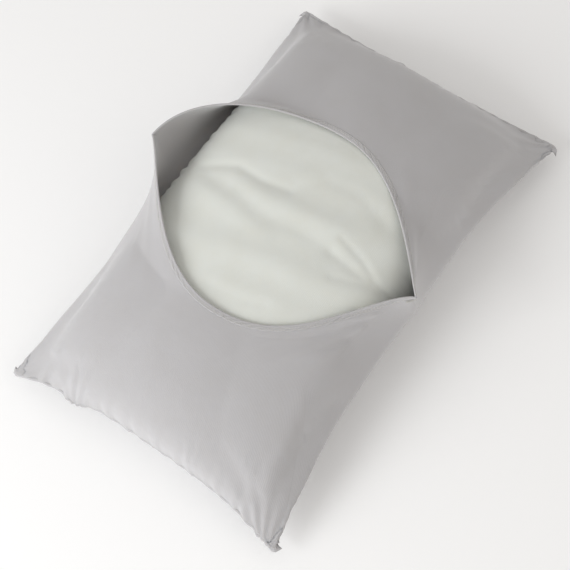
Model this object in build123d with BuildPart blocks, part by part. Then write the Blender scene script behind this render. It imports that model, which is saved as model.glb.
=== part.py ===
from build123d import *
from math import atan2, cos, hypot, sin
import os

# Bed pillow: a soft filled insert inside a stretch-knit cover. The cover is a knit tube
# sewn shut across both short ends. Its mouth crosses the middle of the top face, and
# here the mouth is held open, so that its two hems bow apart and rise at the long sides.
# Frame: X along the length, +Y to the left side, +Z up, origin on the resting surface
# under the middle. Front is the -X end. Millimetres.

# Cover, outside sizes when filled
length = 590  # over the corner tips
width = 372  # over the corner tips
crown_height = 137  # top of the filled cover above the resting surface
end_pull_in = 15  # how far the middle of each end seam is drawn in from the tips
side_pull_in = 18  # how far each long side is drawn in at mid-length
knit = 1.6  # thickness of the knit
base_knit = 3  # thickness of the underside, knit and what it presses flat
fold_height_mid = 62  # height of the long sides' fold at mid-length
corner_height = 22  # height of the corner tips
end_seam_height = 40  # height of the end seam at its middle
end_opening = 6  # thickness of the cover where it meets the end seam
end_seam_width = 5
end_seam_thickness = 3
resting_half_width = 80  # half the width of the flat patch underneath
end_flat_half_width = 20  # half the width of the underside's flat strip at the ends
belly_bulge = 12  # how far the lower flanks bow out from a straight line
arch_bulge = 3  # how far the underside bows up between the corners of an end
press_depth = 1  # how far the underside would sink below the resting surface
side_sweep = 3  # power by which the sides and the flat patch draw in from the middle
crown_fullness = 2.6  # power that keeps the crown full before it drops to the ends
belly_rise = 7  # power that keeps the underside low before it rises to the ends

# Mouth
left_tip_inset = 4  # from the widest part of the cover to where the hems meet on the left
right_tip_inset = 14
left_tip_rise = 3  # height of the left tip over the crown
right_tip_drop = 11  # depth of the right tip below the crown
hem_apex = 179  # where a hem's two straight stretches would meet, from mid-length
hem_bow_radius = 130  # radius of the hem's bow between its straight stretches
hem_radius = 1.6  # half the thickness of the rolled hem
hem_thread_radius = 0.4
hem_root_half_gap = 4  # half the gap between the mouth's two walls at the top panel
wall_lap = 1  # how far the mouth's walls run into the top panel
tip_gap = 1  # from mid-length to where each hem ends
tip_bulge = 2  # how far the mouth's wall bows out below a tip
tack_length = 14
tack_size = 4
cover_label_width = 26
cover_label_drop = 34
label_thickness = 0.6
cover_label_x = -36  # middle of the label along the right side of the front hem

# Insert, outside sizes when filled
insert_gap = 1  # between the insert's crown and the inside of the cover
insert_end_gap = 29  # from a corner tip of the cover to the insert's corner, lengthways
insert_side_gap = 10  # from the cover's fold to the insert's edge seam, at mid-length
insert_corner_spread = 3  # how much wider each side is at the corners
insert_end_pull_in = 8
insert_corner_rise = 14  # height of the insert's corners over the cover's corner tips
insert_belly_rise = 5  # powers, as belly_rise, for the insert's underside and end seams
insert_arch_rise = 4
least_arch = 0.2  # so that the edge seam's sections are never quite straight
insert_end_rise = 6  # how much higher the middle of its end seam is
insert_end_opening = 4
casing = 1.2  # thickness of the woven casing
fill_gap = 0.5  # between the filling and the casing
seam_width = 4
seam_thickness = 1.6
insert_thread_radius = 0.4
insert_thread_length = 150
insert_label_width = 25
insert_label_reach = 8  # how far the folded label runs out from the casing
insert_label_x = -78

os.makedirs("parts", exist_ok=True)

half_length = length / 2
half_width = width / 2
end_middle = half_length - end_pull_in - end_seam_width
left_tip_y = half_width - left_tip_inset
left_tip_height = crown_height + left_tip_rise
right_tip_y = right_tip_inset - half_width
right_tip_height = crown_height - right_tip_drop
insert_half_length = half_length - insert_end_gap
insert_half_width = half_width - side_pull_in - insert_side_gap
insert_end_height = corner_height + insert_corner_rise
insert_end_middle = insert_half_length - insert_end_pull_in

# The mouth's outline, seen from above: a hem runs straight from the left tip, round a
# bow and straight on to the right tip. The rear hem is the front hem turned over.
mouth_middle_y = (left_tip_y + right_tip_y) / 2
mouth_half_span = (left_tip_y - right_tip_y) / 2
hem_angle = atan2(mouth_half_span, hem_apex)
mouth_reach = hem_apex - hem_bow_radius * (1 / sin(hem_angle) - 1)
bow_start = hem_apex - hem_bow_radius * cos(hem_angle) ** 2 / sin(hem_angle)
bow_centre = mouth_reach - hem_bow_radius


def hem_half_span(x):
    """Half the mouth's width at x."""
    if abs(x) <= bow_start:
        return mouth_half_span * (1 - abs(x) / hem_apex)
    return max(hem_bow_radius**2 - (abs(x) - bow_centre) ** 2, hem_root_half_gap**2) ** 0.5


def hem_height(y):
    """Height of both hems, which lie in one plane that tilts from tip to tip."""
    rise = (left_tip_height - right_tip_height) / (left_tip_y - right_tip_y)
    return right_tip_height + rise * (y - right_tip_y)


def fold_y(x):
    return half_width - side_pull_in * (1 - min(abs(x) / half_length, 1) ** side_sweep)


def fold_height(x):
    drop = fold_height_mid - corner_height
    return fold_height_mid - drop * min(abs(x) / half_length, 1) ** 2


def crown(x):
    top = end_seam_height + end_opening / 2
    share = min(abs(x) / end_middle, 1)
    return top + (crown_height - top) * (1 - share**crown_fullness) ** 0.5


def belly(x):
    share = min(abs(x) / end_middle, 1)
    return (end_seam_height - end_opening / 2 + press_depth) * share**belly_rise - press_depth


def flat_half_width(x):
    share = min(abs(x) / end_middle, 1)
    return resting_half_width - (resting_half_width - end_flat_half_width) * share**side_sweep


def flank_bulge(x):
    share = min(abs(x) / end_middle, 1)
    return belly_bulge * (1 - share**2) - arch_bulge * share**2


def insert_y(x):
    share = min(abs(x) / insert_half_length, 1)
    return insert_half_width - seam_width + insert_corner_spread * share**side_sweep


def insert_seam_height(x):
    share = min(abs(x) / insert_half_length, 1)
    return fold_height_mid - (fold_height_mid - insert_end_height) * share**2


def insert_end_arch(x):
    """Height of the insert's middle surface over its edges, which only the ends show."""
    arch = insert_end_rise * min(abs(x) / insert_end_middle, 1) ** insert_arch_rise
    return least_arch + arch


def insert_crown(x):
    top = insert_end_height + insert_end_rise + insert_end_opening / 2
    share = min(abs(x) / insert_end_middle, 1)
    full = crown_height - knit - insert_gap
    return top + (full - top) * (1 - share**crown_fullness) ** 0.5


def insert_belly(x):
    low = base_knit - press_depth + insert_gap
    share = min(abs(x) / insert_end_middle, 1)
    end = insert_end_height + insert_end_rise - insert_end_opening / 2
    return low + (end - low) * share**insert_belly_rise


def across(x):
    """The plane across the pillow at x: its own axes are the frame's Y and Z."""
    return Plane(origin=(x, 0, 0), x_dir=(0, 1, 0), z_dir=(1, 0, 0))


def bowed(start, end, bulge):
    """The point an arc from start to end passes, bowed to the left of its direction."""
    across_y, across_z = start[1] - end[1], end[0] - start[0]
    size = hypot(across_y, across_z)
    return (
        (start[0] + end[0]) / 2 + bulge * across_y / size,
        (start[1] + end[1]) / 2 + bulge * across_z / size,
    )


def top_section(x, side, edge, top, thickness):
    """A thin arched section, such as a top panel, closed along its two edges."""
    with BuildSketch(across(x)) as section:
        with BuildLine():
            ThreePointArc((-side, edge), (0, top), (side, edge))
            Line((side, edge), (side - thickness, edge))
            ThreePointArc(
                (side - thickness, edge), (0, top - thickness), (thickness - side, edge)
            )
            Line((thickness - side, edge), (-side, edge))
        make_face()
    return section.sketch


def strip_section(x, side, edge, top, thickness):
    """A section of even thickness that arches from edge to edge, such as a flat seam."""
    with BuildSketch(across(x)) as section:
        with BuildLine():
            ThreePointArc((-side, edge), (0, top), (side, edge))
            Line((side, edge), (side, edge - thickness))
            ThreePointArc(
                (side, edge - thickness), (0, top - thickness), (-side, edge - thickness)
            )
            Line((-side, edge - thickness), (-side, edge))
        make_face()
    return section.sketch


def under_section(x, side, edge, flat, bottom, bulge, thickness, depth):
    """A thin section of an underside: two bowed flanks and a flat strip."""
    inner = side - thickness
    lip = edge - depth / 2
    upper = bottom + depth
    with BuildSketch(across(x)) as section:
        with BuildLine():
            ThreePointArc((side, lip), bowed((flat, bottom), (side, lip), -bulge), (flat, bottom))
            Line((flat, bottom), (-flat, bottom))
            ThreePointArc(
                (-flat, bottom), bowed((-flat, bottom), (-side, lip), bulge), (-side, lip)
            )
            Polyline((-side, lip), (-side, edge), (-inner, edge))
            ThreePointArc(
                (-inner, edge), bowed((-flat, upper), (-inner, edge), bulge), (-flat, upper)
            )
            Line((-flat, upper), (flat, upper))
            ThreePointArc((flat, upper), bowed((flat, upper), (inner, edge), -bulge), (inner, edge))
            Polyline((inner, edge), (side, edge), (side, lip))
        make_face()
    return section.sketch


def full_section(x, inset, lip_depth):
    """The insert's whole section, or its filling's, which is inset and has no lip."""
    side = insert_y(x) - inset
    edge = insert_seam_height(x)
    lip = edge - lip_depth
    flat = flat_half_width(x) - insert_gap
    bottom = insert_belly(x) + inset
    bulge = flank_bulge(x)
    with BuildSketch(across(x)) as section:
        with BuildLine():
            ThreePointArc((-side, edge), (0, insert_crown(x) - inset), (side, edge))
            ThreePointArc((side, lip), bowed((flat, bottom), (side, lip), -bulge), (flat, bottom))
            Line((flat, bottom), (-flat, bottom))
            ThreePointArc(
                (-flat, bottom), bowed((-flat, bottom), (-side, lip), bulge), (-side, lip)
            )
            if lip_depth:
                Line((side, edge), (side, lip))
                Line((-side, lip), (-side, edge))
        make_face()
    return section.sketch


def mouth_wall_section(x, side):
    """The knit beside the mouth, from the long side's fold up to the hem."""
    fold = fold_y(x)
    hem_y = mouth_middle_y + side * hem_half_span(x)
    hem_z = hem_height(hem_y)
    half_arc = hypot(fold, crown(mouth_reach) - fold_height(x)) / 2
    arc_rise = crown(mouth_reach) - fold_height(mouth_reach)
    arc_radius = (fold_y(mouth_reach) ** 2 + arc_rise**2) / (2 * arc_rise)
    full_bulge = arc_radius - max(arc_radius**2 - half_arc**2, 0) ** 0.5
    bulge = tip_bulge + (full_bulge - tip_bulge) * (x / mouth_reach) ** 2
    outer_fold = (side * fold, fold_height(x))
    inner_fold = (side * (fold - knit), fold_height(x))
    outer_hem = (hem_y, hem_z)
    inner_hem = (hem_y - side * knit, hem_z - knit / 2)
    with BuildSketch(across(x)) as section:
        with BuildLine():
            ThreePointArc(outer_fold, bowed(outer_fold, outer_hem, -side * bulge), outer_hem)
            Line(outer_hem, inner_hem)
            ThreePointArc(inner_hem, bowed(inner_fold, inner_hem, -side * bulge), inner_fold)
            Line(inner_fold, outer_fold)
        make_face()
    return section.sketch


def end_bow(end, half_long, pull_in, outer_y, outside):
    """Plan region past, or short of, the bowed line of an end seam."""
    tip = end * half_long
    far = end * 2 * half_long if outside else 0
    with BuildSketch() as region:
        with BuildLine():
            ThreePointArc((tip, -outer_y), (tip - end * pull_in, 0), (tip, outer_y))
            Polyline((tip, outer_y), (tip, outer_y * 2), (far, outer_y * 2), (far, -outer_y * 2),
                     (tip, -outer_y * 2), (tip, -outer_y))
        make_face()
    return region.sketch


def past_end(end):
    return end_bow(end, half_length - end_seam_width, end_pull_in, half_width, True)


above_all = crown_height * 2
mouth_stations = (0.99, 0.95, 0.85, 0.7, 0.48, 0.24)  # shares of the mouth's reach
end_stations = (0.6, 0.75, 0.86, 0.94, 0.985)  # shares of the way out to an end seam


def panel_stations(end):
    outer = [end * share * end_middle for share in end_stations]
    return [end * mouth_reach, *outer, end * end_middle, end * half_length]


def cover_top_section(x):
    return top_section(x, fold_y(x), fold_height(x), crown(x), knit)


# Cover: the tube's underside, from fold to fold, cut flat where it rests.
with BuildPart() as cover_bottom_panel:
    stations = [-half_length, *(-s * end_middle for s in (1, *reversed(end_stations)))]
    stations += [-0.4 * end_middle, 0, 0.4 * end_middle]
    stations += [*(s * end_middle for s in (*end_stations, 1)), half_length]
    loft(
        [
            under_section(
                x, fold_y(x), fold_height(x), flat_half_width(x), belly(x), flank_bulge(x),
                knit, base_knit,
            )
            for x in stations
        ],
        ruled=True,
    )
    with BuildSketch():
        Rectangle(length * 2, width * 2)
    extrude(amount=-above_all, mode=Mode.SUBTRACT)
    for end in (-1, 1):
        extrude(past_end(end), amount=above_all, mode=Mode.SUBTRACT)
cover_bottom_panel.part.label = "cover_bottom_panel"
export_step(cover_bottom_panel.part, "parts/cover_bottom_panel.step")


# Cover: the top panels in front of and behind the mouth. Each takes in the stretched
# knit that rises beside the mouth to the tips.
def top_panel(end):
    with BuildPart() as panel:
        loft([cover_top_section(x) for x in panel_stations(end)], ruled=True)
        extrude(past_end(end), amount=above_all, mode=Mode.SUBTRACT)
        for side in (-1, 1):
            stations = [end * share * mouth_reach for share in mouth_stations]
            stations = [end * (mouth_reach + wall_lap), *stations, end * tip_gap]
            loft([mouth_wall_section(x, side) for x in stations], ruled=True)
    return panel


cover_front_panel = top_panel(-1)
cover_front_panel.part.label = "cover_front_panel"
export_step(cover_front_panel.part, "parts/cover_front_panel.step")
cover_rear_panel = top_panel(1)
cover_rear_panel.part.label = "cover_rear_panel"
export_step(cover_rear_panel.part, "parts/cover_rear_panel.step")


def hem_line(end, radius, lift):
    """A round strand along a hem, raised by lift."""
    left = (end * tip_gap, left_tip_y, left_tip_height + lift)
    right = (end * tip_gap, right_tip_y, right_tip_height + lift)
    apex = (end * hem_apex, mouth_middle_y, hem_height(mouth_middle_y) + lift)
    with BuildPart() as strand:
        with BuildLine() as path:
            FilletPolyline(left, apex, right, radius=hem_bow_radius)
        with BuildSketch(Plane(origin=path.line @ 0, z_dir=path.line % 0)):
            Circle(radius)
        sweep(path=path.line)
    return strand


# Cover: the rolled hems of the mouth, and the thread sewn along the top of each.
for name, end in (("front", -1), ("rear", 1)):
    hem = hem_line(end, hem_radius, 0)
    hem.part.label = f"{name}_mouth_hem"
    export_step(hem.part, f"parts/{name}_mouth_hem.step")
    thread = hem_line(end, hem_thread_radius, hem_radius)
    thread.part.label = f"{name}_hem_thread"
    export_step(thread.part, f"parts/{name}_hem_thread.step")

# Cover: the bar tacks that hold the two hems together at the ends of the mouth.
tips = (("left", left_tip_y, left_tip_height), ("right", right_tip_y, right_tip_height))
for name, tip_y, tip_z in tips:
    with BuildPart() as tack:
        with Locations((0, tip_y, tip_z)):
            Box(tack_length, tack_size, tack_size)
        fillet(tack.edges().filter_by(Axis.X), radius=tack_size / 4)
    tack.part.label = f"{name}_mouth_tack"
    export_step(tack.part, f"parts/{name}_mouth_tack.step")

# Cover: the overlocked seams that close the two short ends, from tip to tip.
for name, end in (("front", -1), ("rear", 1)):
    with BuildPart() as end_seam:
        stations = [end * x for x in (end_middle - end_seam_width, half_length)]
        loft(
            [
                strip_section(
                    x, half_width, corner_height + end_seam_thickness / 2,
                    end_seam_height + end_seam_thickness / 2, end_seam_thickness,
                )
                for x in stations
            ],
            ruled=True,
        )
        past_tips = end_bow(end, half_length, end_pull_in, half_width, True)
        extrude(past_tips, amount=above_all, mode=Mode.SUBTRACT)
        seam_start = end_bow(
            end, half_length - end_seam_width, end_pull_in, half_width, False
        )
        extrude(seam_start, amount=above_all, mode=Mode.SUBTRACT)
    end_seam.part.label = f"{name}_end_seam"
    export_step(end_seam.part, f"parts/{name}_end_seam.step")

# Cover: a blank care label that hangs inside the mouth from the front hem's right side.
with BuildPart() as cover_care_label:
    label_y = mouth_middle_y - hem_half_span(cover_label_x)
    inward = hem_radius
    label_plane = Plane(
        origin=(
            cover_label_x + inward * sin(hem_angle),
            label_y + inward * cos(hem_angle),
            hem_height(label_y) - cover_label_drop / 2,
        ),
        x_dir=(-hem_apex, mouth_half_span, 0),
        z_dir=(0, 0, 1),
    )
    with Locations(label_plane):
        Box(cover_label_width, label_thickness, cover_label_drop)
cover_care_label.part.label = "cover_care_label"
export_step(cover_care_label.part, "parts/cover_care_label.step")


# Insert: the woven casing's upper and lower panels, the seam that joins their edges,
# the thread that closes the gap it was filled through, and the fibre filling.
outer_shares = (0.3, 0.5, *end_stations)
insert_shares = (*(-share for share in reversed(outer_shares)), 0, *outer_shares)
fill_stations = [share * insert_end_middle for share in insert_shares]


def insert_stations(reach):
    return [-reach, *fill_stations, reach]


def past_insert_end(end):
    return end_bow(
        end, insert_half_length - seam_width, insert_end_pull_in, insert_half_width, True
    )


with BuildPart() as insert_top_casing:
    loft(
        [
            top_section(x, insert_y(x), insert_seam_height(x), insert_crown(x), casing)
            for x in insert_stations(insert_half_length)
        ],
        ruled=True,
    )
    for end in (-1, 1):
        extrude(past_insert_end(end), amount=above_all, mode=Mode.SUBTRACT)
insert_top_casing.part.label = "insert_top_casing"
export_step(insert_top_casing.part, "parts/insert_top_casing.step")

with BuildPart() as insert_bottom_casing:
    loft(
        [
            under_section(
                x, insert_y(x), insert_seam_height(x), flat_half_width(x) - insert_gap,
                insert_belly(x), flank_bulge(x), casing, casing,
            )
            for x in insert_stations(insert_half_length)
        ],
        ruled=True,
    )
    for end in (-1, 1):
        extrude(past_insert_end(end), amount=above_all, mode=Mode.SUBTRACT)
insert_bottom_casing.part.label = "insert_bottom_casing"
export_step(insert_bottom_casing.part, "parts/insert_bottom_casing.step")

with BuildPart() as insert_fibre_filling:
    loft([full_section(x, casing + fill_gap, 0) for x in fill_stations], ruled=True)
insert_fibre_filling.part.label = "insert_fibre_filling"
export_step(insert_fibre_filling.part, "parts/insert_fibre_filling.step")

with BuildPart() as insert_body:
    loft(
        [full_section(x, 0, casing / 2) for x in insert_stations(insert_half_length)],
        ruled=True,
    )
    for end in (-1, 1):
        extrude(past_insert_end(end), amount=above_all, mode=Mode.SUBTRACT)

with BuildPart() as insert_edge_seam:
    loft(
        [
            strip_section(
                x, insert_y(x) + seam_width, insert_seam_height(x) + seam_thickness / 2,
                insert_seam_height(x) + insert_end_arch(x) + seam_thickness / 2,
                seam_thickness,
            )
            for x in insert_stations(insert_half_length)
        ],
        ruled=True,
    )
    for end in (-1, 1):
        past_seam = end_bow(
            end, insert_half_length, insert_end_pull_in, insert_half_width, True
        )
        extrude(past_seam, amount=above_all, mode=Mode.SUBTRACT)
    add(insert_body.part, mode=Mode.SUBTRACT)
insert_edge_seam.part.label = "insert_edge_seam"
export_step(insert_edge_seam.part, "parts/insert_edge_seam.step")

with BuildPart() as insert_closing_thread:
    thread_y = insert_half_width - seam_width / 2
    thread_end = insert_thread_length / 2
    seam_top = seam_thickness / 2
    with BuildLine() as thread_path:
        ThreePointArc(
            (-thread_end, thread_y, insert_seam_height(thread_end) + seam_top),
            (0, thread_y, insert_seam_height(0) + seam_top),
            (thread_end, thread_y, insert_seam_height(thread_end) + seam_top),
        )
    with BuildSketch(Plane(origin=thread_path.line @ 0, z_dir=thread_path.line % 0)):
        Circle(insert_thread_radius)
    sweep(path=thread_path.line)
insert_closing_thread.part.label = "insert_closing_thread"
export_step(insert_closing_thread.part, "parts/insert_closing_thread.step")

with BuildPart() as insert_care_label:
    label_y = -(insert_half_width - seam_width + insert_label_reach / 2)
    label_z = insert_seam_height(insert_label_x) + (seam_thickness + label_thickness) / 2
    with Locations((insert_label_x, label_y, label_z)):
        Box(insert_label_width, insert_label_reach, label_thickness)
insert_care_label.part.label = "insert_care_label"
export_step(insert_care_label.part, "parts/insert_care_label.step")
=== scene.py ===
import math

import bmesh
import bpy
import numpy as np
from mathutils import Matrix, Vector
from mathutils.bvhtree import BVHTree


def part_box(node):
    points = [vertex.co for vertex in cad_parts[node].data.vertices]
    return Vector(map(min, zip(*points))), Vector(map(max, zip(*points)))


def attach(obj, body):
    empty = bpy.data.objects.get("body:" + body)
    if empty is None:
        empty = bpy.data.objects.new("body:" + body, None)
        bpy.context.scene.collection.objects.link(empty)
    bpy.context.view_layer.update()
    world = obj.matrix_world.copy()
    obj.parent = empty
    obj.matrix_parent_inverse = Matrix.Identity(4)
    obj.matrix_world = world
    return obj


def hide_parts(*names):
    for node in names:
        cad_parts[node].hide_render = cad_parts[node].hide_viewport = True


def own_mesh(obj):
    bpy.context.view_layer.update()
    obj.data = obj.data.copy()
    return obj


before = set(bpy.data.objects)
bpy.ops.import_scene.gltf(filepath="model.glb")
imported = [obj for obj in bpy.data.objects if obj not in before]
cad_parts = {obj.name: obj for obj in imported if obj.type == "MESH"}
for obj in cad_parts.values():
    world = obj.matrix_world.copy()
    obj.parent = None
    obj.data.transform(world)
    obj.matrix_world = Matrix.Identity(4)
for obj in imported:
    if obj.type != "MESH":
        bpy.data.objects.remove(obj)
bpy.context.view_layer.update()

# The pillow is a filled insert in a stretch-knit cover. It is made from the inside out:
# the insert's casing is inflated first, and then the knit is stretched over it.
# Lengths are metres. The rear is the +X end and the left side is +Y.


# ---- Insert casing ----------------------------------------------------------------
# Two rectangles of plain-woven cotton, sewn together round their edges and stuffed with
# polyester fibre. The filling blows it up, and the flat edges pucker as they draw in.

casing_length = 0.62
casing_width = 0.42
casing_cell = 0.006
casing_dome = 0.075
casing_pressure = 2.0
casing_frames = 16
start_length, corner_length_gain = 0.90, 0.06  # shares of the flat size before it is stuffed
start_width, corner_width_gain = 0.80, 0.12
waist_share, corner_share = 0.975, 0.82  # shares of the stuffed width that fit in the cover
end_bow = 0.055
casing_fit = 0.99
seam_clearance = 0.0008
end_seam_rise = 0.006
underside_press = 0.004
resting_height, resting_softness = 0.0028, 0.004
pucker_depth, pucker_reach, pucker_lengths = 0.0007, 0.007, (0.011, 0.024)
swell_height, swell_fade = 0.0005, 0.06
long_swells, cross_swells = (0.045, 0.10), (0.08, 0.19)
bare_reach, bare_fade = 0.095, 0.025  # half the length that the mouth leaves uncovered
crease_share = 0.6
# Soft creases across the top, as plan points, depth and half width. A rise has minus depth.
casing_creases = (
    (((0.0, 0.112), (-0.004, 0.06), (-0.011, 0.02), (-0.004, -0.025), (-0.006, -0.065)), 0.0024, 0.010),
    (((-0.006, -0.065), (-0.009, -0.1), (-0.006, -0.145)), 0.0020, 0.006),
    (((0.008, 0.122), (0.027, 0.082), (0.024, 0.046), (0.029, 0.012)), 0.0022, 0.0055),
    (((0.037, 0.008), (0.063, -0.014), (0.068, -0.054), (0.058, -0.09)), 0.0017, 0.009),
    (((0.014, -0.066), (0.006, -0.1), (-0.003, -0.12), (-0.005, -0.15)), 0.0016, 0.0042),
    (((-0.030, -0.082), (-0.016, -0.112), (-0.007, -0.145)), 0.0015, 0.0048),
    (((-0.110, 0.024), (-0.107, -0.012), (-0.097, -0.04)), 0.0013, 0.007),
    (((-0.020, 0.095), (-0.025, 0.05), (-0.032, 0.005)), -0.0017, 0.012),
    (((0.013, 0.08), (0.009, 0.03), (0.015, -0.02), (0.022, -0.06)), -0.0018, 0.010),
    (((-0.065, 0.08), (-0.072, 0.03), (-0.066, -0.03)), 0.0012, 0.016),
)
cotton_colour = "E3E6E2"
cotton_shade = "DBDCD4"
cotton_thread_pitch = 0.0016  # drawn coarser than the real 0.4 mm weave, so that it shows


def linear(code):
    """A linear colour from an sRGB hex value."""
    channels = [int(code[i : i + 2], 16) / 255 for i in (0, 2, 4)]
    return (*[c / 12.92 if c <= 0.04045 else ((c + 0.055) / 1.055) ** 2.4 for c in channels], 1)


def add_node(tree, kind, inputs=None, **settings):
    """A node with its settings, and its inputs as values or as sockets to link from."""
    made = tree.nodes.new(kind)
    for name, value in settings.items():
        setattr(made, name, value)
    for name, value in (inputs or {}).items():
        if isinstance(value, bpy.types.NodeSocket):
            tree.links.new(value, made.inputs[name])
        else:
            made.inputs[name].default_value = value
    return made


def corner_points(mesh):
    """The point at each face corner of a mesh."""
    corners = np.zeros(len(mesh.loops), dtype=int)
    mesh.loops.foreach_get("vertex_index", corners)
    return corners


def quads_of(grid):
    """The four corners of each cell of a grid."""
    corners = [grid[:-1, :-1], grid[1:, :-1], grid[1:, 1:], grid[:-1, 1:]]
    return np.stack([corner.reshape(-1, *grid.shape[2:]) for corner in corners], 1)


def mesh_object(name, points, faces, flat=None):
    """A smooth object, with UVs from the flat place of each point or of each face corner."""
    mesh = bpy.data.meshes.new(name)
    mesh.from_pydata(np.asarray(points).tolist(), [], faces)
    mesh.update()
    mesh.shade_smooth()
    if flat is not None:
        flat = np.asarray(flat)
        if len(flat) != len(mesh.loops):
            flat = flat[corner_points(mesh)]
        mesh.uv_layers.new(name="cut").data.foreach_set("uv", flat.ravel())
    made = bpy.data.objects.new(name, mesh)
    bpy.context.scene.collection.objects.link(made)
    return made


def apply_modifiers(piece):
    """The piece keeps the mesh that its modifiers make, and loses them."""
    graph = bpy.context.evaluated_depsgraph_get()
    finished = bpy.data.meshes.new_from_object(piece.evaluated_get(graph))
    piece.modifiers.clear()
    piece.shape_key_clear()
    piece.data = finished


def points_of(piece, values="co"):
    points = np.zeros(len(piece.data.vertices) * 3)
    piece.data.vertices.foreach_get(values, points)
    return points.reshape(-1, 3)


def set_points(piece, points):
    piece.data.vertices.foreach_set("co", np.asarray(points).ravel())
    piece.data.update()


def wander(places, shortest, longest, rng, count=7):
    """A wave of about unit height along one axis, as even as hand-sewn cloth is."""
    total = np.zeros(np.shape(places))
    for _ in range(count):
        wavelength, lag = rng.uniform(shortest, longest), rng.uniform(0, math.tau)
        total += np.sin(math.tau * places / wavelength + lag)
    return total / math.sqrt(count / 2)


def two_sheets(length, width, cell):
    """Two flat grids that share their edges: flat places, side (+1 or -1) and faces."""
    columns, rows = round(length / cell), round(width / cell)
    across, along = np.meshgrid(
        np.linspace(-width / 2, width / 2, rows + 1),
        np.linspace(-length / 2, length / 2, columns + 1),
    )
    flat = np.stack([along, across], -1).reshape(-1, 2)
    top = np.arange((columns + 1) * (rows + 1)).reshape(columns + 1, rows + 1)
    under = top.copy()
    inner = top[1:-1, 1:-1].ravel()
    under[1:-1, 1:-1] = (len(flat) + np.arange(len(inner))).reshape(columns - 1, rows - 1)
    quads = []
    for grid, order in ((top, 1), (under, -1)):
        quads += quads_of(grid)[:, ::order].tolist()
    side = np.concatenate([np.ones(len(flat)), -np.ones(len(inner))])
    rim = [*top[:, 0], *top[-1, 1:], *top[::-1, -1][1:], *top[0, ::-1][1:-1]]
    return np.concatenate([flat, flat[inner]]), side, quads, rim


casing_flat, casing_side, casing_faces, casing_rim = two_sheets(
    casing_length, casing_width, casing_cell
)
along = np.abs(casing_flat[:, 0]) / (casing_length / 2)
across = np.abs(casing_flat[:, 1]) / (casing_width / 2)
dome = casing_dome * np.sqrt(np.clip(1 - along**3, 0, 1) * np.clip(1 - across**2.4, 0, 1))
start = np.stack(
    [
        casing_flat[:, 0] * (start_length + corner_length_gain * across**3),
        casing_flat[:, 1] * (start_width + corner_width_gain * along**4),
        casing_side * dome,
    ],
    -1,
)
casing = mesh_object("insert_casing", start, casing_faces, casing_flat)
casing.shape_key_add(name="start")
cut = casing.shape_key_add(name="cut")
cut_points = np.column_stack([casing_flat, np.zeros(len(casing_flat))])
cut.data.foreach_set("co", cut_points.ravel())
cloth = casing.modifiers.new("stuffing", "CLOTH")
cloth.settings.quality = 5
cloth.settings.mass = 0.3
cloth.settings.tension_stiffness = 30
cloth.settings.compression_stiffness = 30
cloth.settings.shear_stiffness = 6
cloth.settings.bending_stiffness = 0.6
cloth.settings.air_damping = 3
cloth.settings.use_pressure = True
cloth.settings.uniform_pressure_force = casing_pressure
cloth.settings.effector_weights.gravity = 0
cloth.settings.rest_shape_key = cut
cloth.collision_settings.use_collision = False
cloth.point_cache.frame_start = 1
cloth.point_cache.frame_end = casing_frames
for step in range(1, casing_frames + 1):
    bpy.context.scene.frame_set(step)
apply_modifiers(casing)

# The blown-up casing goes to its place: seam at the height of the edge seam, crown under
# the top panel, and underside pressed flat where the pillow rests.
seam_low, seam_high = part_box("insert_edge_seam")
_, top_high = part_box("insert_top_casing")
shape = points_of(casing)
reach = np.abs(shape).max(0)
share_x = np.abs(shape[:, 0]) / reach[0]
share_y = np.abs(shape[:, 1]) / reach[1]
shape[:, 0] *= top_high.x / reach[0] * (1 + end_bow - end_bow * share_y**4) * casing_fit
shape[:, 1] *= waist_share * (1 - (1 - corner_share) * share_x**3)
seam_drop = seam_high.z - seam_low.z - end_seam_rise
seam_height = seam_high.z - seam_clearance - seam_drop * share_x**2
seam_height += end_seam_rise * share_x**4 * (1 - share_y**2)
lift = (top_high.z - seam_high.z) / reach[2]
sink = (seam_high.z + underside_press) / reach[2]
shape[:, 2] = seam_height + shape[:, 2] * np.where(shape[:, 2] > 0, lift, sink)
above = shape[:, 2] - resting_height
pressed = resting_softness * np.logaddexp(0, above / resting_softness)
shape[:, 2] = resting_height + np.where(above > 4 * resting_softness, above, pressed)
set_points(casing, shape)

smoother = casing.modifiers.new("smoother", "SUBSURF")
smoother.levels = smoother.render_levels = 1
apply_modifiers(casing)


def flat_places(piece):
    """Each point's place on the flat cut, from the UV map."""
    mesh = piece.data
    uv = np.zeros(len(mesh.loops) * 2)
    mesh.uv_layers["cut"].data.foreach_get("uv", uv)
    flat = np.zeros((len(mesh.vertices), 2))
    flat[corner_points(mesh)] = uv.reshape(-1, 2)
    return flat


def crease(points, line, depth, width):
    """Depth of a soft crease below the surface along a line given in plan."""
    sunk = np.zeros(len(points))
    for (ax, ay), (bx, by) in zip(line, line[1:]):
        run = np.array([bx - ax, by - ay])
        away = points[:, :2] - (ax, ay)
        part = np.clip(away @ run / (run @ run), 0, 1)
        gap = np.linalg.norm(away - part[:, None] * run, axis=1)
        sunk = np.maximum(sunk, np.exp(-((gap / width) ** 2)))
    return depth * sunk


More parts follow.
